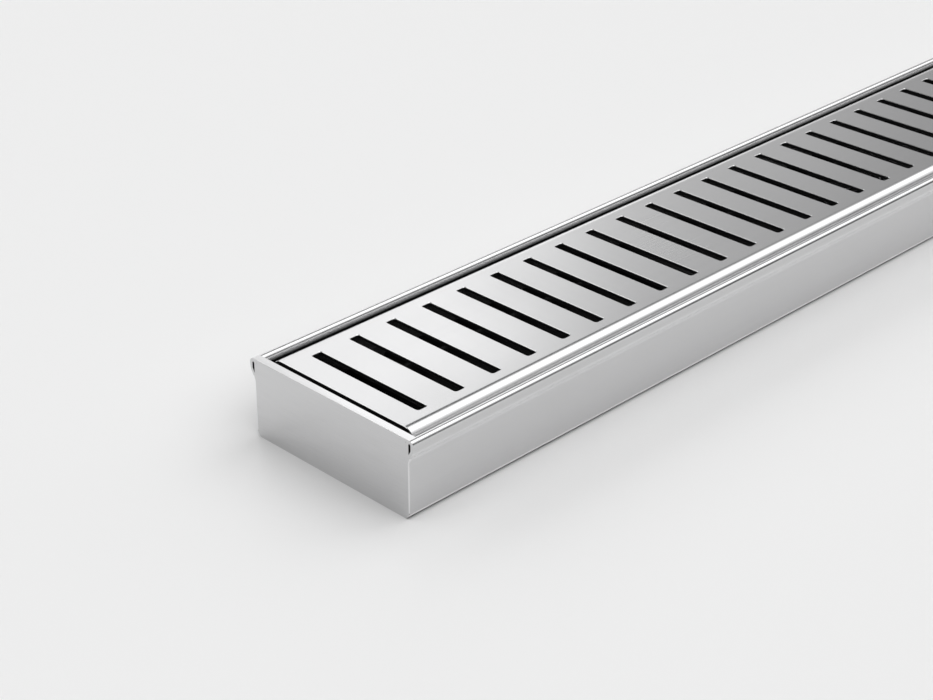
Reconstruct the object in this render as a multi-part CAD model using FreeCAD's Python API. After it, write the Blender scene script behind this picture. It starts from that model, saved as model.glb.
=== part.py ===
import FreeCAD, Part
import math
import os

# Linear drain of folded stainless sheet, lying on its flat base.
# Frame: X along the drain, Y across it, Z up, origin under the middle of the base.

# Channel
length = 800.0
overall_width = 100.0
height = 37.6
sheet = 1.5
base_bend = 3.0

# Hem along both rims: the sheet turns outwards over the rim and its lip comes back to the wall
hem_gap = 1.2
hem_drop = 5.0
hem_reach = 10.0
hem_bend = 3.0
hem_foot = 3.0

# End plates, seated inside the channel's ends with a shoulder on each rim
plate = 4.0
plate_shoulder = 1.2

# Slotted grate
grate_sheet = 2.0
grate_bend = 5.5
grate_drop = 0.2
grate_side_gap = 2.6
grate_end_gap = 2.15
slot_width = 5.0
slot_length = 65.5
slot_corner = 0.9
slot_pitch = 21.6
slot_end_land = 12.0

# Support bridges across the trough
bridge_sheet = 1.5
bridge_length = 20.0
bridge_height = 12.5
bridge_side_gap = 0.8
bridge_bend = 2.5
bridge_foot = 10.0
bridge_from_end = 60.0
bridge_from_outlet = 160.0

# Rubber clips on the grate's lower edges, one over each end of each bridge
clip_length = 16.0
clip_wall = 1.2
clip_base = 2.0
clip_grip = 6.0

# Outlet in the middle of the base
outlet_bore = 60.0
collar_wall = 2.0
collar_weld_gap = 0.1
flange_width = 6.0
flange_thick = 1.2

# Slotted strainer plate over the outlet
strainer_sheet = 1.2
strainer_edge_gap = 2.0
strainer_slot_width = 4.0
strainer_slot_inner = 12.0
strainer_slot_margin = 3.0
strainer_slots = 8

# Lifting knob riveted to the middle of the strainer
knob_width = 10.0
knob_height = 5.0
knob_neck = 5.0
knob_neck_height = 2.0
knob_chamfer = 1.0

# Derived sizes
hem_out = sheet + hem_gap
crown_radius = sheet + hem_gap / 2
wall_out = overall_width / 2 - hem_out
wall_in = wall_out - sheet
crown_y = wall_out + hem_gap / 2
trough_half = length / 2 - plate
grate_half = wall_in - grate_side_gap
grate_top = height - grate_drop
grate_length = 2 * (trough_half - grate_end_gap)
bridge_top = sheet + bridge_height
grate_edge = bridge_top + clip_base
collar_radius = outlet_bore / 2 + collar_wall
flange_radius = collar_radius + flange_width
flange_top = sheet + flange_thick
strainer_radius = flange_radius - strainer_edge_gap
strainer_top = flange_top + strainer_sheet


def rounded_wire(corners):
    """Closed wire in the YZ plane through corners (y, z, radius), each corner an arc of its radius."""
    edges = []
    starts = []
    ends = []
    arcs = []
    count = len(corners)
    for i in range(count):
        before = FreeCAD.Vector(0, corners[i - 1][0], corners[i - 1][1])
        here = FreeCAD.Vector(0, corners[i][0], corners[i][1])
        after = FreeCAD.Vector(0, corners[(i + 1) % count][0], corners[(i + 1) % count][1])
        radius = corners[i][2]
        if radius <= 0:
            starts.append(here)
            ends.append(here)
            arcs.append(None)
            continue
        back = (before - here).normalize()
        ahead = (after - here).normalize()
        half_angle = back.getAngle(ahead) / 2
        setback = radius / math.tan(half_angle)
        start = here + back * setback
        end = here + ahead * setback
        bisector = (back + ahead).normalize()
        centre = here + bisector * (radius / math.sin(half_angle))
        starts.append(start)
        ends.append(end)
        arcs.append(Part.Arc(start, centre - bisector * radius, end))
    for i in range(count):
        if arcs[i]:
            edges.append(arcs[i].toShape())
        tail = ends[i]
        head = starts[(i + 1) % count]
        if tail.distanceToPoint(head) > 1e-6:
            edges.append(Part.LineSegment(tail, head).toShape())
    return Part.Wire(edges)


def run_along_x(corners, start, run):
    """Solid with the rounded section, from x = start over the length run."""
    face = Part.Face(rounded_wire(corners))
    solid = face.extrude(FreeCAD.Vector(run, 0, 0))
    solid.translate(FreeCAD.Vector(start, 0, 0))
    return solid


def both_sides(half_section):
    """Closed section, symmetric across the drain, from the corners of its +Y half."""
    mirrored = [(-y, z, radius) for y, z, radius in reversed(half_section)]
    return half_section + mirrored


def revolve_about_z(corners):
    """Solid of revolution about the Z axis from a rounded section (radius from axis, z, corner)."""
    face = Part.Face(rounded_wire(corners))
    return face.revolve(FreeCAD.Vector(0, 0, 0), FreeCAD.Vector(0, 0, 1), 360)


def save(name, shape):
    shape.exportStep("parts/" + name + ".step")


def lip_depth(distance_from_wall):
    """Depth under the crown of the lip's inner face where it leans in towards the wall."""
    lean = hem_reach - hem_drop
    slope = math.hypot(hem_out, lean)
    return hem_reach - distance_from_wall / hem_out * lean - sheet * slope / hem_out


def channel_outline():
    """Outer and inner faces of the folded trough with its two hemmed rims."""
    outside = [
        (wall_in, sheet, base_bend - sheet),
        (wall_in, height, crown_radius),
        (wall_out + hem_out, height, crown_radius),
        (wall_out + hem_out, height - hem_drop, hem_bend),
        (wall_out, height - hem_reach, hem_foot),
        (wall_out, 0, base_bend),
    ]
    return both_sides(outside)


def hem_slit(side):
    """Narrow hollow inside one hem, closed at its lower end where the lip meets the wall."""
    corners = [
        (wall_out, height - sheet, hem_gap / 2),
        (wall_out + hem_gap, height - sheet, hem_gap / 2),
        (wall_out + hem_gap, height - lip_depth(hem_gap), 0),
        (wall_out, height - lip_depth(0), 0),
    ]
    outline = [(side * y, z, radius) for y, z, radius in corners]
    return run_along_x(outline, -length / 2, length)


def make_channel():
    """Trough folded from one sheet, with hems, seats for the end plates and the outlet hole."""
    body = run_along_x(channel_outline(), -length / 2, length)
    cutters = [hem_slit(1), hem_slit(-1)]
    for start in (-length / 2, length / 2 - plate):
        corner = FreeCAD.Vector(start, -crown_y, height - plate_shoulder)
        cutters.append(Part.makeBox(plate, 2 * crown_y, plate_shoulder, corner))
    hole_radius = collar_radius + collar_weld_gap
    cutters.append(Part.makeCylinder(hole_radius, sheet))
    return body.cut(cutters)


def make_end_plate(start):
    """Thick plate that fills the channel's section, with shoulders that lie on both rims."""
    half = [
        (crown_y, height, 0),
        (crown_y, height - plate_shoulder, 0),
        (wall_in, height - plate_shoulder, 0),
        (wall_in, sheet, base_bend - sheet),
    ]
    return run_along_x(both_sides(half), start, plate)


def slot_centres():
    """X of each slot: as many as fit between the plain lands at the grate's ends, centred."""
    room = grate_length - 2 * slot_end_land - slot_width
    gaps = int(room / slot_pitch)
    return [(i - gaps / 2) * slot_pitch for i in range(gaps + 1)]


def slot_cutter(x):
    """Upright cutter for one slot with its four rounded corners."""
    cutter = Part.makeBox(slot_width, slot_length, grate_bend + grate_sheet)
    cutter.translate(FreeCAD.Vector(x - slot_width / 2, -slot_length / 2, grate_top - grate_bend))
    upright = [edge for edge in cutter.Edges if edge.BoundBox.ZLength > grate_bend]
    return cutter.makeFillet(slot_corner, upright)


def make_grate():
    """Flat slotted top whose long edges turn down into deep sides."""
    half = [
        (grate_half, grate_top, grate_bend),
        (grate_half, grate_edge, 0),
        (grate_half - grate_sheet, grate_edge, 0),
        (grate_half - grate_sheet, grate_top - grate_sheet, grate_bend - grate_sheet),
    ]
    grate = run_along_x(both_sides(half), -grate_length / 2, grate_length)
    return grate.cut([slot_cutter(x) for x in slot_centres()])


def bridge_centres():
    """X of the bridges: one pair near the channel's ends, one pair either side of the outlet."""
    far = length / 2 - bridge_from_end
    return [-far, -bridge_from_outlet, bridge_from_outlet, far]


def make_bridge(x):
    """Strip folded into a bridge: level top, two legs and feet turned inwards on the floor."""
    half_width = wall_in - bridge_side_gap
    inner_bend = bridge_bend - bridge_sheet
    half = [
        (half_width - bridge_sheet, bridge_top - bridge_sheet, inner_bend),
        (half_width - bridge_sheet, sheet + bridge_sheet, inner_bend),
        (half_width - bridge_foot, sheet + bridge_sheet, 0),
        (half_width - bridge_foot, sheet, 0),
        (half_width, sheet, bridge_bend),
        (half_width, bridge_top, bridge_bend),
    ]
    return run_along_x(both_sides(half), x - bridge_length / 2, bridge_length)


def make_clip(x, side):
    """Rubber channel pushed up over the grate's lower edge, standing on a bridge."""
    inner = grate_half - grate_sheet
    corners = [
        (inner - clip_wall, bridge_top, 0),
        (grate_half + clip_wall, bridge_top, 0),
        (grate_half + clip_wall, grate_edge + clip_grip, 0),
        (grate_half, grate_edge + clip_grip, 0),
        (grate_half, grate_edge, 0),
        (inner, grate_edge, 0),
        (inner, grate_edge + clip_grip, 0),
        (inner - clip_wall, grate_edge + clip_grip, 0),
    ]
    outline = [(side * y, z, radius) for y, z, radius in corners]
    return run_along_x(outline, x - clip_length / 2, clip_length)


def make_outlet_ring():
    """Turned collar welded into the base's hole, its flange on the trough floor."""
    bore = outlet_bore / 2
    return revolve_about_z([
        (bore, 0, 0),
        (collar_radius, 0, 0),
        (collar_radius, sheet, 0),
        (flange_radius, sheet, 0),
        (flange_radius, flange_top, 0),
        (bore, flange_top, 0),
    ])


def strainer_slot(angle):
    """Radial slot cutter with round ends, over the outlet's bore."""
    outer = outlet_bore / 2 - strainer_slot_margin - strainer_slot_width / 2
    run = outer - strainer_slot_inner
    slot = Part.makeBox(run, strainer_slot_width, strainer_sheet)
    slot.translate(FreeCAD.Vector(strainer_slot_inner, -strainer_slot_width / 2, flange_top))
    for radius in (strainer_slot_inner, outer):
        centre = FreeCAD.Vector(radius, 0, flange_top)
        end = Part.makeCylinder(strainer_slot_width / 2, strainer_sheet, centre)
        slot = slot.fuse(end)
    slot.rotate(FreeCAD.Vector(0, 0, 0), FreeCAD.Vector(0, 0, 1), angle)
    return slot


def make_strainer():
    """Flat round plate on the collar's flange, with a ring of radial slots over the bore."""
    disc = Part.makeCylinder(strainer_radius, strainer_sheet, FreeCAD.Vector(0, 0, flange_top))
    turn = 360 / strainer_slots
    return disc.cut([strainer_slot(i * turn) for i in range(strainer_slots)])


def make_knob():
    """Turned knob: a neck that stands on the strainer and a chamfered head to lift it by."""
    head = strainer_top + knob_neck_height
    top = head + knob_height
    return revolve_about_z([
        (0, strainer_top, 0),
        (knob_neck / 2, strainer_top, 0),
        (knob_neck / 2, head, 0),
        (knob_width / 2 - knob_chamfer, head, 0),
        (knob_width / 2, head + knob_chamfer, 0),
        (knob_width / 2, top - knob_chamfer, 0),
        (knob_width / 2 - knob_chamfer, top, 0),
        (0, top, 0),
    ])


os.makedirs("parts", exist_ok=True)

save("channel_body", make_channel())
save("end_plate_left", make_end_plate(-length / 2))
save("end_plate_right", make_end_plate(length / 2 - plate))
save("slotted_grate", make_grate())

number = 0
for position, x in enumerate(bridge_centres(), start=1):
    save("support_bridge_%d" % position, make_bridge(x))
    for side in (-1, 1):
        number += 1
        save("grate_clip_%d" % number, make_clip(x, side))

save("outlet_ring", make_outlet_ring())
save("outlet_strainer", make_strainer())
save("strainer_knob", make_knob())
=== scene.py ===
import math

import bmesh
import bpy
from mathutils import Matrix, Vector


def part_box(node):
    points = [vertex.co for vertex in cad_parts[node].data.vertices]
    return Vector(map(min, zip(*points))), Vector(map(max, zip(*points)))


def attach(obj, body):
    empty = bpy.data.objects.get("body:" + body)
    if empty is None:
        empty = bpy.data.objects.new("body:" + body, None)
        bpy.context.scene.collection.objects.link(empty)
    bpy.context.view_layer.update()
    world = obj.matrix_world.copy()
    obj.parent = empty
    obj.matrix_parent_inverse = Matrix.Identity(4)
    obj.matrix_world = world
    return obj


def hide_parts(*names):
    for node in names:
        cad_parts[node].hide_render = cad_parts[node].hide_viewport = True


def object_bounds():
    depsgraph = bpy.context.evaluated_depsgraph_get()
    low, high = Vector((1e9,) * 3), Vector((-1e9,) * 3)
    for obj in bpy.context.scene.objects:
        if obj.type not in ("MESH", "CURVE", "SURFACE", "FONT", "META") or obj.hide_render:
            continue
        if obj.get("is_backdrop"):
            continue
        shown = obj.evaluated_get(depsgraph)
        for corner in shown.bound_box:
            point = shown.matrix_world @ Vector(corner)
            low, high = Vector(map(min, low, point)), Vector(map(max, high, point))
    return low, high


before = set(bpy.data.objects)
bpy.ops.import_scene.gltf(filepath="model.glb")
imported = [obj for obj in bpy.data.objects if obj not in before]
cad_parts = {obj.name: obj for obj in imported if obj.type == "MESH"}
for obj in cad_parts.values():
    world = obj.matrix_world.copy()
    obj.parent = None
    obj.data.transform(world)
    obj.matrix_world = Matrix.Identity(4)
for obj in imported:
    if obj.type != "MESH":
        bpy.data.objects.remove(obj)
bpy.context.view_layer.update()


# Channel body: one sheet of 1.5 mm stainless steel folded into a trough. Both rims turn outwards
# over a full round crown into a hem, whose lip leans back to the wall. The ends of the crowns
# are stepped for the end plates, and the base has a round hole for the outlet.
body_low, body_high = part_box("channel_body")
rim_height = body_high.z
sheet = 0.0015
base_bend = 0.003
hem_gap = 0.0012
hem_drop = 0.005
hem_reach = 0.010
hem_bend = 0.008
hem_foot = 0.007
hem_out = sheet + hem_gap
crown_radius = sheet + hem_gap / 2
wall_out = body_high.y - hem_out
wall_in = wall_out - sheet
crown_y = wall_out + hem_gap / 2
shoulder = 0.0012
outlet_hole = 0.0321
brushed_depth = 0.008


def rounded_outline(corners, turn=6):
    """Points (y, z) round a section whose corners (y, z, radius) are bent, in arcs of turn degrees a step."""
    points = []
    for i, (y, z, radius) in enumerate(corners):
        here = Vector((y, z))
        if radius <= 0:
            points.append(here)
            continue
        back = (Vector(corners[i - 1][:2]) - here).normalized()
        ahead = (Vector(corners[(i + 1) % len(corners)][:2]) - here).normalized()
        half_angle = back.angle(ahead) / 2
        centre = here + (back + ahead).normalized() * (radius / math.sin(half_angle))
        start = here + back * (radius / math.tan(half_angle)) - centre
        bend = math.pi - 2 * half_angle
        steps = max(2, math.ceil(math.degrees(bend) / turn))
        side = 1 if back.cross(ahead) < 0 else -1
        for step in range(steps + 1):
            points.append(centre + Matrix.Rotation(side * bend * step / steps, 2) @ start)
    return points


def both_sides(half):
    """Closed section, symmetric across the drain, from the corners of its +Y half."""
    return half + [(-y, z, radius) for y, z, radius in reversed(half)]


def run_along_x(name, outlines, start, end):
    """Mesh of a filled section in the YZ plane from x = start to x = end; further outlines are hollows."""
    curve = bpy.data.curves.new(name, "CURVE")
    curve.dimensions = "2D"
    curve.fill_mode = "BOTH"
    curve.extrude = (end - start) * 500
    for outline in outlines:
        spline = curve.splines.new("POLY")
        spline.points.add(len(outline) - 1)
        for point, place in zip(spline.points, outline):
            point.co = (place[0] * 1000, place[1] * 1000, 0, 1)
        spline.use_cyclic_u = True
    drawn = bpy.data.objects.new(name, curve)
    mesh = bpy.data.meshes.new_from_object(drawn)
    bpy.data.objects.remove(drawn)
    across_to_y = Matrix(((0, 0, 1, 0), (1, 0, 0, 0), (0, 1, 0, 0), (0, 0, 0, 1)))
    mesh.transform(Matrix.Translation(((start + end) / 2, 0, 0)) @ Matrix.Scale(0.001, 4) @ across_to_y)
    return closed(mesh)


def closed(mesh):
    """The mesh with its seams merged and its faces pointing outwards."""
    work = bmesh.new()
    work.from_mesh(mesh)
    bmesh.ops.remove_doubles(work, verts=work.verts, dist=1e-6)
    bmesh.ops.recalc_face_normals(work, faces=work.faces)
    work.to_mesh(mesh)
    work.free()
    return mesh


def placed(name, mesh):
    """Object of that mesh, shown in the scene."""
    piece = bpy.data.objects.new(name, mesh)
    bpy.context.scene.collection.objects.link(piece)
    return piece


def applied(piece):
    """Bakes the piece's modifiers into its own mesh."""
    depsgraph = bpy.context.evaluated_depsgraph_get()
    mesh = bpy.data.meshes.new_from_object(piece.evaluated_get(depsgraph))
    piece.modifiers.clear()
    piece.data = mesh


def cut(piece, cutters):
    """Takes the cutter meshes out of the piece."""
    for mesh in cutters:
        cutter = placed("cutter", mesh)
        boolean = piece.modifiers.new("cut", "BOOLEAN")
        boolean.operation = "DIFFERENCE"
        boolean.solver = "EXACT"
        boolean.object = cutter
        applied(piece)
        bpy.data.objects.remove(cutter)


def disc(radius, bottom, top, steps=96):
    """Closed upright cylinder on the Z axis."""
    work = bmesh.new()
    bmesh.ops.create_cone(work, cap_ends=True, segments=steps, radius1=radius, radius2=radius, depth=top - bottom)
    bmesh.ops.translate(work, verts=work.verts, vec=(0, 0, (top + bottom) / 2))
    mesh = bpy.data.meshes.new("disc")
    work.to_mesh(mesh)
    work.free()
    return mesh


def eased(piece, width, chosen=None, angle=40, segments=2):
    """Breaks the sharp edges, or those whose two ends chosen(a, b) takes, and shades bends smooth and flats flat."""
    work = bmesh.new()
    work.from_mesh(piece.data)
    for face in work.faces:
        face.smooth = True
    sharp = [edge for edge in work.edges
             if len(edge.link_faces) != 2 or edge.calc_face_angle() > math.radians(angle)]
    broken = [edge for edge in sharp if chosen is None or chosen(*(vertex.co for vertex in edge.verts))]
    for edge in sharp:
        edge.smooth = edge in broken
    made = bmesh.ops.bevel(work, geom=broken, offset=width, segments=segments, profile=0.5, affect="EDGES",
                           clamp_overlap=False, material=-1)
    for face in made["faces"]:
        face.smooth = segments > 1
        face.material_index = 0
    work.to_mesh(piece.data)
    work.free()
    weighted = piece.modifiers.new("flat_flats", "WEIGHTED_NORMAL")
    weighted.keep_sharp = True
    weighted.weight = 100


def steel(name, colour, gloss, grain, tooth):
    """Stainless steel: gloss is (smoothest, roughest), grain is lines a metre along X, Y, Z, tooth their depth."""
    material = bpy.data.materials.new(name)
    material.use_nodes = True
    nodes, links = material.node_tree.nodes, material.node_tree.links
    shader = nodes["Principled BSDF"]
    shader.inputs["Metallic"].default_value = 1.0
    place = nodes.new("ShaderNodeTexCoord")
    stretch = nodes.new("ShaderNodeMapping")
    stretch.inputs["Scale"].default_value = grain
    links.new(place.outputs["Object"], stretch.inputs["Vector"])
    lines = nodes.new("ShaderNodeTexNoise")
    lines.inputs["Scale"].default_value = 1.0
    lines.inputs["Detail"].default_value = 3.0
    links.new(stretch.outputs["Vector"], lines.inputs["Vector"])
    haze = nodes.new("ShaderNodeTexNoise")
    haze.inputs["Scale"].default_value = 14.0
    haze.inputs["Detail"].default_value = 4.0
    links.new(place.outputs["Object"], haze.inputs["Vector"])

    tone = nodes.new("ShaderNodeMapRange")
    tone.inputs["From Min"].default_value = 0.25
    tone.inputs["From Max"].default_value = 0.75
    tone.inputs["To Min"].default_value = 0.0
    tone.inputs["To Max"].default_value = 1.0
    links.new(lines.outputs["Fac"], tone.inputs["Value"])
    shades = nodes.new("ShaderNodeValToRGB")
    shades.color_ramp.elements[0].color = [c * 0.965 for c in colour] + [1]
    shades.color_ramp.elements[1].color = [min(1, c * 1.03) for c in colour] + [1]
    links.new(tone.outputs["Result"], shades.inputs["Fac"])
    links.new(shades.outputs["Color"], shader.inputs["Base Color"])

    mixed = nodes.new("ShaderNodeMath")
    mixed.operation = "ADD"
    links.new(lines.outputs["Fac"], mixed.inputs[0])
    links.new(haze.outputs["Fac"], mixed.inputs[1])
    rough = nodes.new("ShaderNodeMapRange")
    rough.inputs["From Min"].default_value = 0.6
    rough.inputs["From Max"].default_value = 1.4
    rough.inputs["To Min"].default_value = gloss[0]
    rough.inputs["To Max"].default_value = gloss[1]
    links.new(mixed.outputs["Value"], rough.inputs["Value"])
    links.new(rough.outputs["Result"], shader.inputs["Roughness"])

    bump = nodes.new("ShaderNodeBump")
    bump.inputs["Strength"].default_value = 1.0
    bump.inputs["Distance"].default_value = tooth
    links.new(lines.outputs["Fac"], bump.inputs["Height"])
    links.new(bump.outputs["Normal"], shader.inputs["Normal"])
    return material


trough = [
    (wall_in, sheet, base_bend - sheet),
    (wall_in, rim_height - brushed_depth, 0),
    (wall_in, rim_height, crown_radius),
    (wall_out + hem_out, rim_height, crown_radius),
    (wall_out + hem_out, rim_height - hem_drop, hem_bend),
    (wall_out, rim_height - hem_reach, hem_foot),
    (wall_out, 0, base_bend),
]
lean = hem_reach - hem_drop
lip_slope = math.hypot(hem_out, lean)
lip_at_wall = hem_reach - sheet * lip_slope / hem_out
lip_at_gap = lip_at_wall - hem_gap / hem_out * lean
slit = [
    (wall_out, rim_height - sheet, hem_gap / 2),
    (wall_out + hem_gap, rim_height - sheet, hem_gap / 2),
    (wall_out + hem_gap, rim_height - lip_at_gap, 0),
    (wall_out, rim_height - lip_at_wall, 0),
]
other_slit = [(-y, z, radius) for y, z, radius in slit]
plate_low, plate_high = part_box("end_plate_left")
step = [
    (crown_y, rim_height - shoulder, 0),
    (crown_y, rim_height + sheet, 0),
    (-crown_y, rim_height + sheet, 0),
    (-crown_y, rim_height - shoulder, 0),
]
channel = placed("channel_trough", run_along_x(
    "channel_trough",
    [rounded_outline(both_sides(trough)), rounded_outline(slit, 15), rounded_outline(other_slit, 15)],
    body_low.x, body_high.x,
))
cut(channel, [
    run_along_x("step", [rounded_outline(step)], body_low.x - sheet, plate_high.x),
    run_along_x("step", [rounded_outline(step)], -plate_high.x, body_high.x + sheet),
    disc(outlet_hole, -sheet, 2 * sheet),
])
channel.data.materials.clear()
channel_steel = steel("channel_steel", (0.6, 0.6, 0.605), (0.16, 0.26), (14, 2600, 2600), 0.0000012)
# Painted highlight: a share read per point mixes the brushed colour towards near-white.
painted_sheen = channel_steel.node_tree.nodes.new("ShaderNodeAttribute")
painted_sheen.attribute_name = "painted_sheen"
painted_sheen_mix = channel_steel.node_tree.nodes.new("ShaderNodeMix")
painted_sheen_mix.data_type = "RGBA"
painted_sheen_mix.inputs["B"].default_value = (0.98, 0.98, 0.985, 1)
channel_shader = channel_steel.node_tree.nodes["Principled BSDF"]
brushed_shade = channel_shader.inputs["Base Color"].links[0].from_socket
channel_steel.node_tree.links.new(painted_sheen.outputs["Fac"], painted_sheen_mix.inputs["Factor"])
channel_steel.node_tree.links.new(brushed_shade, painted_sheen_mix.inputs["A"])
channel_steel.node_tree.links.new(painted_sheen_mix.outputs["Result"], channel_shader.inputs["Base Color"])
channel.data.materials.append(channel_steel)
# Painted shade: a near-black steel that stands in for the shade inside the drain. It goes on the trough's inside,
# the slit under each hem, the foot of the base bend, the plates' inner faces and the grate's cut walls.
painted_shade_steel = steel("painted_shade_inside", (0.05, 0.05, 0.05), (0.5, 0.6), (60, 240, 240), 0.000002)
channel.data.materials.append(painted_shade_steel)
ground_steel = steel("plate_steel", (0.64, 0.64, 0.645), (0.08, 0.16), (900, 60, 2200), 0.000001)
channel.data.materials.append(ground_steel)
# Painted highlight and painted shade: the rim's inner face is painted near-white at its top and fades to black lower
# down, into the shade of the gap.
rim_shade_steel = steel("rim_inside_painted_shade", (0.95, 0.95, 0.955), (0.5, 0.6), (14, 2600, 2600), 0.0000012)
dull_tree = rim_shade_steel.node_tree
dull_place = dull_tree.nodes.new("ShaderNodeTexCoord")
dull_depth = dull_tree.nodes.new("ShaderNodeSeparateXYZ")
dull_tree.links.new(dull_place.outputs["Object"], dull_depth.inputs["Vector"])
shade_by_depth = dull_tree.nodes.new("ShaderNodeMapRange")
shade_by_depth.inputs["From Min"].default_value = rim_height - 0.0036
shade_by_depth.inputs["From Max"].default_value = rim_height - 0.0022
shade_by_depth.inputs["To Min"].default_value = 0.02
dull_tree.links.new(dull_depth.outputs["Z"], shade_by_depth.inputs["Value"])
painted_shade_fade = dull_tree.nodes.new("ShaderNodeMix")
painted_shade_fade.data_type = "RGBA"
painted_shade_fade.inputs["A"].default_value = (0, 0, 0, 1)
dull_shader = dull_tree.nodes["Principled BSDF"]
dull_shade = dull_shader.inputs["Base Color"].links[0].from_socket
dull_tree.links.new(shade_by_depth.outputs["Result"], painted_shade_fade.inputs["Factor"])
dull_tree.links.new(dull_shade, painted_shade_fade.inputs["B"])
dull_tree.links.new(painted_shade_fade.outputs["Result"], dull_shader.inputs["Base Color"])
channel.data.materials.append(rim_shade_steel)
# Painted highlight: a brighter steel for the chamfer down the channel's outer end corners, so it shows as a bright
# line.
edge_highlight_steel = steel("edge_painted_highlight", (0.8, 0.8, 0.805), (0.16, 0.26), (14, 2600, 2600), 0.0000012)
channel.data.materials.append(edge_highlight_steel)
for facet in channel.data.polygons:
    lowest = min(channel.data.vertices[i].co.z for i in facet.vertices)
    highest = max(channel.data.vertices[i].co.z for i in facet.vertices)
    inwards = abs(facet.center.y) < wall_in + 1e-5 and (facet.normal.z > 0.01 or abs(facet.normal.y) > 0.01)
    hem_inside = wall_out - 1e-5 < abs(facet.center.y) < wall_out + hem_gap + 1e-5 and abs(facet.normal.x) < 0.5
    # Painted shade: the trough's inner walls and floor below the brushed band take the near-black steel.
    if inwards and lowest > sheet - 1e-5 and highest < rim_height - brushed_depth + 1e-5:
        facet.material_index = 1
    # Painted highlight and painted shade: the rim's upright inner face above the brushed band takes the rim steel
    # that darkens with depth.
    elif inwards and lowest > rim_height - brushed_depth - 1e-5 and abs(facet.normal.z) < 0.2:
        facet.material_index = 3
    # Painted shade: the narrow slit between each lip and the wall takes the near-black steel.
    if hem_inside and lowest > rim_height - lip_at_wall - 1e-5 and highest < rim_height - sheet + 1e-5:
        facet.material_index = 1
    if abs(facet.center.x) > body_high.x - 1e-5:
        facet.material_index = 2


# Painted highlight: the hem and the lip, most of all the lip's leaning face, and the top of the base's bends are
# painted brighter than the rest, mixed towards near-white. Painted shade: the foot of the bend is painted dark where
# it meets the floor.
painted_sheen_share = channel.data.attributes.new("painted_sheen", "FLOAT", "POINT")
steepest = hem_out / lip_slope
work = bmesh.new()
work.from_mesh(channel.data)
for i, vertex in enumerate(work.verts):
    skin = sum((face.normal for face in vertex.link_faces if abs(face.normal.x) < 0.5), Vector())
    downwards = -skin.normalized().z if skin.length else 0
    if abs(vertex.co.y) > wall_out - base_bend and vertex.co.z > rim_height - hem_reach - hem_foot:
        painted_sheen_share.data[i].value = 0.15 + 0.85 * max(0, min(1, 1.04 * downwards / steepest)) ** 3
    elif abs(vertex.co.y) > wall_out - base_bend and 0.15 < downwards < 0.5:
        painted_sheen_share.data[i].value = 1
work.free()
# Painted shade: the lower faces of the base bend take the near-black steel, a painted contact shadow at the floor.
for facet in channel.data.polygons:
    if facet.material_index == 0 and facet.center.z < base_bend and 0.5 < -facet.normal.z < 0.999:
        facet.material_index = 1


def outer_end_edge(*ends):
    """True for the upright outside edge of the channel's cut ends; all that is welded there is ground flush."""
    return all(abs(place.x) > body_high.x - 1e-5 and abs(place.y) > wall_out - 1e-5
               and base_bend - 1e-5 < place.z < rim_height - lip_at_wall - 1e-5 for place in ends)


eased(channel, 0.00036, outer_end_edge, segments=1)
# Painted highlight: the chamfer's faces take the brighter edge steel.
for facet in channel.data.polygons:
    if 0.3 < abs(facet.normal.x) < 0.95:
        facet.material_index = 4
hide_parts("channel_body")
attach(channel, "root")


# End plates: flat pieces of 4 mm plate, cut to the trough's section and welded inside its ends.
# A shoulder on each side lies on the stepped crown, so the top of the plate is one level strip.
# The faces are ground flat and their edges are lightly broken.
plate_section = [
    (crown_y, rim_height, 0),
    (crown_y, rim_height - shoulder, 0),
    (wall_in, rim_height - shoulder, 0),
    (wall_in, sheet, base_bend - sheet),
]


def top_edge(*ends):
    """True for an edge that lies in the plate's top."""
    return all(place.z > rim_height - 1e-5 and abs(place.x) > 0 for place in ends) and ends[0].x == ends[1].x


for node in ("end_plate_left", "end_plate_right"):
    low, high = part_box(node)
    plate = placed(node + "_ground", run_along_x(node, [rounded_outline(both_sides(plate_section))], low.x, high.x))
    plate.data.materials.append(ground_steel)
    plate.data.materials.append(painted_shade_steel)
    # Painted shade: the plate's inner face takes the near-black steel, for the shade in the end gap.
    for facet in plate.data.polygons:
        facet.material_index = 1 if facet.normal.x * facet.center.x < -0.1 * abs(facet.center.x) else 0
    eased(plate, 0.00015, top_edge)
    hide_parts(node)
    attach(plate, "root")


# Grate: one 2 mm sheet, its long edges bent down into deep sides that stand in the trough.
# 36 slots with small rounded corners are cut through the flat top, each right across the drain
# and all one pitch apart. It only rests in the channel and lifts out.
grate_low, grate_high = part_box("slotted_grate")
grate_sheet = 0.002
grate_bend = 0.0055
slot_count = 36
slot_pitch = 0.0216
slot_width = 0.0055
slot_length = 0.0655
slot_corner = 0.0012
end_ease = 0.0006
grate_section = [
    (grate_high.y, grate_high.z, grate_bend),
    (grate_high.y, grate_low.z, 0),
    (grate_high.y - grate_sheet, grate_low.z, 0),
    (grate_high.y - grate_sheet, grate_high.z - grate_sheet, grate_bend - grate_sheet),
]


def socket_value(piece, modifier, name, value):
    """Sets a named input of the modifier's node tree by its identifier."""
    for item in modifier.node_group.interface.items_tree:
        if item.item_type == "SOCKET" and item.in_out == "INPUT" and item.name == name:
            modifier[item.identifier] = value
            return
    raise KeyError(name)


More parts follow.
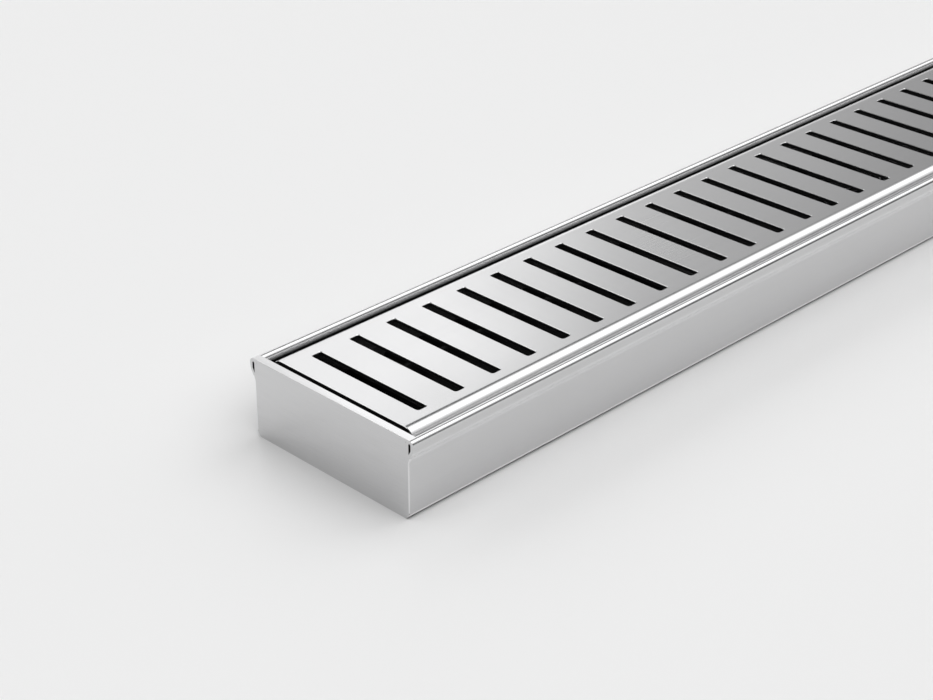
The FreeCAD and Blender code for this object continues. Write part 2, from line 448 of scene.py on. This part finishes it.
def slot_tree():
    """Node tree that cuts a row of rounded slots along X through the sheet it is given."""
    tree = bpy.data.node_groups.new("row_of_slots", "GeometryNodeTree")
    face = tree.interface
    face.new_socket("Geometry", in_out="INPUT", socket_type="NodeSocketGeometry")
    face.new_socket("Slots", in_out="INPUT", socket_type="NodeSocketInt")
    face.new_socket("Pitch", in_out="INPUT", socket_type="NodeSocketFloat")
    face.new_socket("Slot Width", in_out="INPUT", socket_type="NodeSocketFloat")
    face.new_socket("Slot Length", in_out="INPUT", socket_type="NodeSocketFloat")
    face.new_socket("Corner Radius", in_out="INPUT", socket_type="NodeSocketFloat")
    face.new_socket("From Height", in_out="INPUT", socket_type="NodeSocketFloat")
    face.new_socket("To Height", in_out="INPUT", socket_type="NodeSocketFloat")
    face.new_socket("Steel", in_out="INPUT", socket_type="NodeSocketMaterial")
    face.new_socket("Geometry", in_out="OUTPUT", socket_type="NodeSocketGeometry")
    nodes, links = tree.nodes, tree.links
    given = nodes.new("NodeGroupInput")
    result = nodes.new("NodeGroupOutput")

    outline = nodes.new("GeometryNodeCurvePrimitiveQuadrilateral")
    links.new(given.outputs["Slot Width"], outline.inputs["Width"])
    links.new(given.outputs["Slot Length"], outline.inputs["Height"])
    corners = nodes.new("GeometryNodeFilletCurve")
    corners.mode = "POLY"
    corners.inputs["Count"].default_value = 5
    links.new(outline.outputs["Curve"], corners.inputs["Curve"])
    links.new(given.outputs["Corner Radius"], corners.inputs["Radius"])

    bottom = nodes.new("ShaderNodeCombineXYZ")
    links.new(given.outputs["From Height"], bottom.inputs["Z"])
    top = nodes.new("ShaderNodeCombineXYZ")
    links.new(given.outputs["To Height"], top.inputs["Z"])
    upright = nodes.new("GeometryNodeCurvePrimitiveLine")
    links.new(bottom.outputs["Vector"], upright.inputs["Start"])
    links.new(top.outputs["Vector"], upright.inputs["End"])
    punch = nodes.new("GeometryNodeCurveToMesh")
    punch.inputs["Fill Caps"].default_value = True
    links.new(upright.outputs["Curve"], punch.inputs["Curve"])
    links.new(corners.outputs["Curve"], punch.inputs["Profile Curve"])

    gaps = nodes.new("ShaderNodeMath")
    gaps.operation = "SUBTRACT"
    gaps.inputs[1].default_value = 1
    links.new(given.outputs["Slots"], gaps.inputs[0])
    run = nodes.new("ShaderNodeMath")
    run.operation = "MULTIPLY"
    links.new(gaps.outputs["Value"], run.inputs[0])
    links.new(given.outputs["Pitch"], run.inputs[1])
    first = nodes.new("ShaderNodeMath")
    first.operation = "MULTIPLY"
    first.inputs[1].default_value = -0.5
    links.new(run.outputs["Value"], first.inputs[0])
    first_place = nodes.new("ShaderNodeCombineXYZ")
    links.new(first.outputs["Value"], first_place.inputs["X"])
    spacing = nodes.new("ShaderNodeCombineXYZ")
    links.new(given.outputs["Pitch"], spacing.inputs["X"])
    row = nodes.new("GeometryNodeMeshLine")
    row.mode = "OFFSET"
    row.count_mode = "TOTAL"
    links.new(given.outputs["Slots"], row.inputs["Count"])
    links.new(first_place.outputs["Vector"], row.inputs["Start Location"])
    links.new(spacing.outputs["Vector"], row.inputs["Offset"])
    punches = nodes.new("GeometryNodeInstanceOnPoints")
    links.new(row.outputs["Mesh"], punches.inputs["Points"])
    links.new(punch.outputs["Mesh"], punches.inputs["Instance"])
    real_punches = nodes.new("GeometryNodeRealizeInstances")
    links.new(punches.outputs["Instances"], real_punches.inputs["Geometry"])

    cutting = nodes.new("GeometryNodeMeshBoolean")
    cutting.operation = "DIFFERENCE"
    cutting.solver = "EXACT"
    links.new(given.outputs["Geometry"], cutting.inputs["Mesh 1"])
    links.new(real_punches.outputs["Geometry"], cutting.inputs["Mesh 2"])
    real = nodes.new("GeometryNodeRealizeInstances")
    links.new(cutting.outputs["Mesh"], real.inputs["Geometry"])
    finish = nodes.new("GeometryNodeSetMaterial")
    links.new(real.outputs["Geometry"], finish.inputs["Geometry"])
    links.new(given.outputs["Steel"], finish.inputs["Material"])
    links.new(finish.outputs["Geometry"], result.inputs["Geometry"])
    return tree


grate_steel = steel("grate_steel", (0.66, 0.66, 0.665), (0.18, 0.28), (14, 2600, 2600), 0.0000012)
grate = placed("grate_slotted", run_along_x(
    "grate_slotted", [rounded_outline(both_sides(grate_section))], grate_low.x + end_ease, grate_high.x - end_ease,
))
slotting = grate.modifiers.new("slots", "NODES")
slotting.node_group = slot_tree()
socket_value(grate, slotting, "Slots", slot_count)
socket_value(grate, slotting, "Pitch", slot_pitch)
socket_value(grate, slotting, "Slot Width", slot_width)
socket_value(grate, slotting, "Slot Length", slot_length)
socket_value(grate, slotting, "Corner Radius", slot_corner)
socket_value(grate, slotting, "From Height", grate_high.z - grate_bend)
socket_value(grate, slotting, "To Height", grate_high.z + grate_sheet)
socket_value(grate, slotting, "Steel", grate_steel)
applied(grate)
grate.data.materials.clear()
grate.data.materials.append(grate_steel)
grate.data.materials.append(painted_shade_steel)
# Painted shade: the slots' walls and the grate's cut ends take the near-black steel, so they read as black shade.
for facet in grate.data.polygons:
    upright = abs(facet.normal.z) < 0.1
    cut_face = abs(facet.center.x) > grate_high.x - 2 * end_ease or abs(facet.center.y) < slot_length / 2 + 1e-5
    facet.material_index = 1 if upright and cut_face else 0
eased(grate, 0.00024, segments=1)
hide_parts("slotted_grate")
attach(grate, "root")


# Support bridges: strips of 1.5 mm sheet folded to a level top, two legs and feet turned inwards.
# They are spot-welded to the trough's floor near its ends and either side of the outlet, and
# their steel is painted near-black as painted shade of the dark trough, duller than the parts that show.
bridge_sheet = 0.0015
bridge_bend = 0.0025
bridge_foot = 0.010
bridge_steel = steel("bridge_steel", (0.06, 0.06, 0.06), (0.45, 0.55), (60, 240, 240), 0.000002)
for number in range(1, 5):
    node = "support_bridge_%d" % number
    low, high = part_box(node)
    inner_bend = bridge_bend - bridge_sheet
    bridge_section = [
        (high.y - bridge_sheet, high.z - bridge_sheet, inner_bend),
        (high.y - bridge_sheet, low.z + bridge_sheet, inner_bend),
        (high.y - bridge_foot, low.z + bridge_sheet, 0),
        (high.y - bridge_foot, low.z, 0),
        (high.y, low.z, bridge_bend),
        (high.y, high.z, bridge_bend),
    ]
    bridge = placed(node + "_folded", run_along_x(
        node, [rounded_outline(both_sides(bridge_section), 10)], low.x, high.x,
    ))
    bridge.data.materials.append(bridge_steel)
    eased(bridge, 0.0001)
    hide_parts(node)
    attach(bridge, "root")


# Grate clips: short channels of black rubber pushed up over the grate's lower edges. They stand
# on the bridges, take up the play and keep the grate from rattling.
rubber = bpy.data.materials.new("clip_rubber")
rubber.use_nodes = True
rubber_nodes, rubber_links = rubber.node_tree.nodes, rubber.node_tree.links
rubber_shader = rubber_nodes["Principled BSDF"]
rubber_place = rubber_nodes.new("ShaderNodeTexCoord")
rubber_grain = rubber_nodes.new("ShaderNodeTexNoise")
rubber_grain.inputs["Scale"].default_value = 900.0
rubber_grain.inputs["Detail"].default_value = 4.0
rubber_links.new(rubber_place.outputs["Object"], rubber_grain.inputs["Vector"])
rubber_shades = rubber_nodes.new("ShaderNodeValToRGB")
rubber_shades.color_ramp.elements[0].color = (0.045, 0.045, 0.045, 1)
rubber_shades.color_ramp.elements[1].color = (0.075, 0.075, 0.075, 1)
rubber_links.new(rubber_grain.outputs["Fac"], rubber_shades.inputs["Fac"])
rubber_links.new(rubber_shades.outputs["Color"], rubber_shader.inputs["Base Color"])
rubber_rough = rubber_nodes.new("ShaderNodeMapRange")
rubber_rough.inputs["To Min"].default_value = 0.55
rubber_rough.inputs["To Max"].default_value = 0.8
rubber_links.new(rubber_grain.outputs["Fac"], rubber_rough.inputs["Value"])
rubber_links.new(rubber_rough.outputs["Result"], rubber_shader.inputs["Roughness"])
rubber_bump = rubber_nodes.new("ShaderNodeBump")
rubber_bump.inputs["Distance"].default_value = 0.00003
rubber_links.new(rubber_grain.outputs["Fac"], rubber_bump.inputs["Height"])
rubber_links.new(rubber_bump.outputs["Normal"], rubber_shader.inputs["Normal"])
for number in range(1, 9):
    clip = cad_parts["grate_clip_%d" % number]
    for material_slot in clip.material_slots:
        material_slot.material = rubber


# Outlet ring: a turned stainless collar, welded into the hole in the base. Its flange lies on the
# trough's floor and its bore takes the waste pipe from below.
ring_low, ring_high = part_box("outlet_ring")
bore = 0.030
collar = 0.032
flange_chamfer = 0.0004


def turned(name, profile, steps=128):
    """Mesh of a turned piece on the Z axis, from its closed outline of (radius, z)."""
    work = bmesh.new()
    ring = [work.verts.new((radius, 0, z)) for radius, z in profile]
    edges = [work.edges.new((ring[i - 1], ring[i])) for i in range(len(ring))]
    bmesh.ops.spin(work, geom=ring + edges, cent=(0, 0, 0), axis=(0, 0, 1), angle=2 * math.pi, steps=steps,
                   use_merge=True)
    mesh = bpy.data.meshes.new(name)
    work.to_mesh(mesh)
    work.free()
    return closed(mesh)


outlet_steel = steel("outlet_steel", (0.16, 0.16, 0.16), (0.2, 0.32), (260, 260, 260), 0.000003)
ring = placed("outlet_collar", turned("outlet_collar", [
    (bore, ring_low.z),
    (collar, ring_low.z),
    (collar, sheet),
    (ring_high.x, sheet),
    (ring_high.x, ring_high.z - flange_chamfer),
    (ring_high.x - flange_chamfer, ring_high.z),
    (bore, ring_high.z),
]))
ring.data.materials.append(outlet_steel)
eased(ring, 0.00015)
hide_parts("outlet_ring")
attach(ring, "root")


# Strainer: a flat round plate that lies on the collar's flange. Eight slots with round ends
# point at its middle, over the bore, and catch hair and soap.
strainer_low, strainer_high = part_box("outlet_strainer")
strainer_slots = 8
strainer_slot_width = 0.004
strainer_slot_inner = 0.012
strainer_slot_outer = 0.025


def radial_tree():
    """Node tree that cuts a ring of radial slots with round ends through the plate it is given."""
    tree = bpy.data.node_groups.new("ring_of_slots", "GeometryNodeTree")
    face = tree.interface
    face.new_socket("Geometry", in_out="INPUT", socket_type="NodeSocketGeometry")
    face.new_socket("Slots", in_out="INPUT", socket_type="NodeSocketInt")
    face.new_socket("Slot Width", in_out="INPUT", socket_type="NodeSocketFloat")
    face.new_socket("Inner End", in_out="INPUT", socket_type="NodeSocketFloat")
    face.new_socket("Outer End", in_out="INPUT", socket_type="NodeSocketFloat")
    face.new_socket("From Height", in_out="INPUT", socket_type="NodeSocketFloat")
    face.new_socket("To Height", in_out="INPUT", socket_type="NodeSocketFloat")
    face.new_socket("Steel", in_out="INPUT", socket_type="NodeSocketMaterial")
    face.new_socket("Geometry", in_out="OUTPUT", socket_type="NodeSocketGeometry")
    nodes, links = tree.nodes, tree.links
    given = nodes.new("NodeGroupInput")
    result = nodes.new("NodeGroupOutput")

    def worked(operation, first, second):
        """A Math node on two sockets or numbers."""
        sum_node = nodes.new("ShaderNodeMath")
        sum_node.operation = operation
        for i, value in enumerate((first, second)):
            if isinstance(value, (int, float)):
                sum_node.inputs[i].default_value = value
            else:
                links.new(value, sum_node.inputs[i])
        return sum_node.outputs["Value"]

    radius = worked("MULTIPLY", given.outputs["Slot Width"], 0.5)
    straight = worked("SUBTRACT", given.outputs["Outer End"], given.outputs["Inner End"])
    outline = nodes.new("GeometryNodeCurvePrimitiveQuadrilateral")
    links.new(worked("ADD", straight, given.outputs["Slot Width"]), outline.inputs["Width"])
    links.new(given.outputs["Slot Width"], outline.inputs["Height"])
    ends = nodes.new("GeometryNodeFilletCurve")
    ends.mode = "POLY"
    ends.inputs["Count"].default_value = 8
    links.new(outline.outputs["Curve"], ends.inputs["Curve"])
    links.new(worked("MULTIPLY", radius, 0.999), ends.inputs["Radius"])
    centre = nodes.new("ShaderNodeCombineXYZ")
    middle = worked("MULTIPLY", worked("ADD", given.outputs["Outer End"], given.outputs["Inner End"]), 0.5)
    links.new(middle, centre.inputs["X"])

    bottom = nodes.new("ShaderNodeCombineXYZ")
    links.new(given.outputs["From Height"], bottom.inputs["Z"])
    top = nodes.new("ShaderNodeCombineXYZ")
    links.new(given.outputs["To Height"], top.inputs["Z"])
    upright = nodes.new("GeometryNodeCurvePrimitiveLine")
    links.new(bottom.outputs["Vector"], upright.inputs["Start"])
    links.new(top.outputs["Vector"], upright.inputs["End"])
    punch = nodes.new("GeometryNodeCurveToMesh")
    punch.inputs["Fill Caps"].default_value = True
    links.new(upright.outputs["Curve"], punch.inputs["Curve"])
    links.new(ends.outputs["Curve"], punch.inputs["Profile Curve"])
    moved = nodes.new("GeometryNodeTransform")
    links.new(punch.outputs["Mesh"], moved.inputs["Geometry"])
    links.new(centre.outputs["Vector"], moved.inputs["Translation"])

    row = nodes.new("GeometryNodeMeshLine")
    row.mode = "OFFSET"
    row.count_mode = "TOTAL"
    row.inputs["Offset"].default_value = (0, 0, 0)
    links.new(given.outputs["Slots"], row.inputs["Count"])
    index = nodes.new("GeometryNodeInputIndex")
    turn = worked("DIVIDE", 2 * math.pi, given.outputs["Slots"])
    angle = nodes.new("ShaderNodeCombineXYZ")
    links.new(worked("MULTIPLY", index.outputs["Index"], turn), angle.inputs["Z"])
    punches = nodes.new("GeometryNodeInstanceOnPoints")
    links.new(row.outputs["Mesh"], punches.inputs["Points"])
    links.new(moved.outputs["Geometry"], punches.inputs["Instance"])
    links.new(angle.outputs["Vector"], punches.inputs["Rotation"])
    real_punches = nodes.new("GeometryNodeRealizeInstances")
    links.new(punches.outputs["Instances"], real_punches.inputs["Geometry"])

    cutting = nodes.new("GeometryNodeMeshBoolean")
    cutting.operation = "DIFFERENCE"
    cutting.solver = "EXACT"
    links.new(given.outputs["Geometry"], cutting.inputs["Mesh 1"])
    links.new(real_punches.outputs["Geometry"], cutting.inputs["Mesh 2"])
    real = nodes.new("GeometryNodeRealizeInstances")
    links.new(cutting.outputs["Mesh"], real.inputs["Geometry"])
    finish = nodes.new("GeometryNodeSetMaterial")
    links.new(real.outputs["Geometry"], finish.inputs["Geometry"])
    links.new(given.outputs["Steel"], finish.inputs["Material"])
    links.new(finish.outputs["Geometry"], result.inputs["Geometry"])
    return tree


strainer = placed("strainer_slotted", disc(strainer_high.x, strainer_low.z, strainer_high.z, 128))
straining = strainer.modifiers.new("slots", "NODES")
straining.node_group = radial_tree()
socket_value(strainer, straining, "Slots", strainer_slots)
socket_value(strainer, straining, "Slot Width", strainer_slot_width)
socket_value(strainer, straining, "Inner End", strainer_slot_inner)
socket_value(strainer, straining, "Outer End", strainer_slot_outer)
socket_value(strainer, straining, "From Height", strainer_low.z - sheet)
socket_value(strainer, straining, "To Height", strainer_high.z + sheet)
socket_value(strainer, straining, "Steel", outlet_steel)
applied(strainer)
eased(strainer, 0.0001)
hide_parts("outlet_strainer")
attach(strainer, "root")


# Strainer knob: a turned stainless button on a short neck, riveted to the strainer's middle,
# to lift it by.
knob_low, knob_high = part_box("strainer_knob")
knob_neck = 0.0025
knob_neck_height = 0.002
knob_chamfer = 0.001
knob_head = knob_low.z + knob_neck_height
knob = placed("knob_turned", turned("knob_turned", [
    (0, knob_low.z),
    (knob_neck, knob_low.z),
    (knob_neck, knob_head),
    (knob_high.x - knob_chamfer, knob_head),
    (knob_high.x, knob_head + knob_chamfer),
    (knob_high.x, knob_high.z - knob_chamfer),
    (knob_high.x - knob_chamfer, knob_high.z),
    (0, knob_high.z),
], 64))
knob.data.materials.append(outlet_steel)
eased(knob, 0.0002, angle=30)
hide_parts("strainer_knob")
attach(knob, "root")


# Floor: a wide pale matt surface that the drain lies on.
floor_half = 12.0
floor_mesh = bpy.data.meshes.new("floor")
floor_mesh.from_pydata(
    [(-floor_half, -floor_half, 0), (floor_half, -floor_half, 0), (floor_half, floor_half, 0),
     (-floor_half, floor_half, 0)], [], [(0, 1, 2, 3)],
)
floor = placed("floor", floor_mesh)
pale = bpy.data.materials.new("pale_floor")
pale.use_nodes = True
pale_shader = pale.node_tree.nodes["Principled BSDF"]
pale_shader.inputs["Base Color"].default_value = (0.86, 0.86, 0.86, 1)
pale_shader.inputs["Roughness"].default_value = 0.7
pale_shader.inputs["Specular IOR Level"].default_value = 0.2
floor.data.materials.append(pale)
floor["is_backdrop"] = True


# Studio: soft panels and lamps round the drain. A large lamp hangs on the right, a dark gap parts it from
# the bright wall behind, and a row of panels lights the front side. The folded rims show them as lines.
studio = bpy.data.worlds.new("studio")
bpy.context.scene.world = studio
studio.use_nodes = True
studio_nodes, studio_links = studio.node_tree.nodes, studio.node_tree.links
background = studio_nodes["Background"]
background.inputs["Color"].default_value = (1, 1, 1, 1)
view_way = studio_nodes.new("ShaderNodeTexCoord")
parts = studio_nodes.new("ShaderNodeSeparateXYZ")
studio_links.new(view_way.outputs["Generated"], parts.inputs["Vector"])


def reckoned(operation, *values):
    """A Math node on sockets or numbers, in the studio's tree."""
    math_node = studio_nodes.new("ShaderNodeMath")
    math_node.operation = operation
    for i, value in enumerate(values):
        if isinstance(value, (int, float)):
            math_node.inputs[i].default_value = value
        else:
            studio_links.new(value, math_node.inputs[i])
    return math_node.outputs["Value"]


def edge_of(value, place, softness):
    """0 before the place, 1 past it, smooth over the softness."""
    ease = studio_nodes.new("ShaderNodeMapRange")
    ease.interpolation_type = "SMOOTHSTEP"
    ease.inputs["From Min"].default_value = place - softness / 2
    ease.inputs["From Max"].default_value = place + softness / 2
    studio_links.new(value, ease.inputs["Value"])
    return ease.outputs["Result"]


def panel(bearings, heights, strength, softness=6):
    """A soft-edged panel between two bearings and two heights, in degrees, as seen from the drain."""
    sides = [edge_of(value, place, softness) for value, ends in ((bearing, bearings), (height_angle, heights))
             for place in ends]
    across = reckoned("SUBTRACT", sides[0], sides[1])
    up = reckoned("SUBTRACT", sides[2], sides[3])
    return reckoned("MULTIPLY", reckoned("MULTIPLY", across, up), strength)


bearing = reckoned("DEGREES", reckoned("ARCTAN2", parts.outputs["Y"], parts.outputs["X"]))
height_angle = reckoned("DEGREES", reckoned("ARCSINE", parts.outputs["Z"]))
panels = [
    panel((-28, 24), (56, 66), 1.78),
    panel((12, 24), (42, 56), 1.5),
    panel((-33, 12), (42, 56), 1.9),
    panel((-52, -28), (34, 56), 1.2),
    panel((-28, 12), (34, 42), 2.0),
    panel((12, 24), (34, 42), 0.9),
    panel((-28, 14), (12, 34), 1.05),
    panel((14, 24), (12, 34), 0.25),
    panel((-64, -36), (24, 34), 0.5),
    panel((-36, -28), (26, 34), 0.7),
    panel((-36, -28), (12, 26), 0.1),
    panel((-64, -36), (-20, 24), 0.07),
    panel((-60, -47), (-2, 12), 0.35),
    panel((24, 34), (34, 56), 0.18),
    panel((24, 34), (24, 34), 0.33),
    panel((24, 34), (12, 24), 0.42),
    panel((34, 42), (24, 34), 0.46),
    panel((34, 42), (-20, 24), 0.75),
    panel((42, 50), (24, 34), 1.6),
    panel((50, 60), (24, 34), 0.95),
    panel((42, 60), (-20, 24), 1.25),
    panel((50, 60), (34, 42), 2.9),
    panel((-36, 34), (-20, 12), 0.36),
    panel((-64, -52), (34, 66), 2.2),
    panel((50, 60), (42, 66), 3.2),
    panel((60, 165), (18, 48), 1.45),
    panel((-130, -64), (30, 66), 2.3),
    panel((-200, 200), (66, 78), 1.5),
    panel((-200, 200), (78, 100), 0.85),
]
total = panels[0]
for light in panels[1:]:
    total = reckoned("ADD", total, light)
rays = studio_nodes.new("ShaderNodeLightPath")
seen = reckoned("MULTIPLY", rays.outputs["Is Camera Ray"], 0.86)
unseen = reckoned("MULTIPLY", reckoned("SUBTRACT", 1, rays.outputs["Is Camera Ray"]), total)
studio_links.new(reckoned("ADD", seen, unseen), background.inputs["Strength"])


# Camera: looks along the drain from above its near left end.
lens = bpy.data.cameras.new("camera")
lens.sensor_width = 36
lens.lens = 79.9
camera = bpy.data.objects.new("camera", lens)
camera.location = (-0.8792, -0.5590, 0.4591)
camera.rotation_euler = (math.radians(90 - 28.527), 0, math.radians(-45))
bpy.context.scene.collection.objects.link(camera)
bpy.context.scene.camera = camera
bpy.context.scene.view_settings.view_transform = "Standard"

low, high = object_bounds()
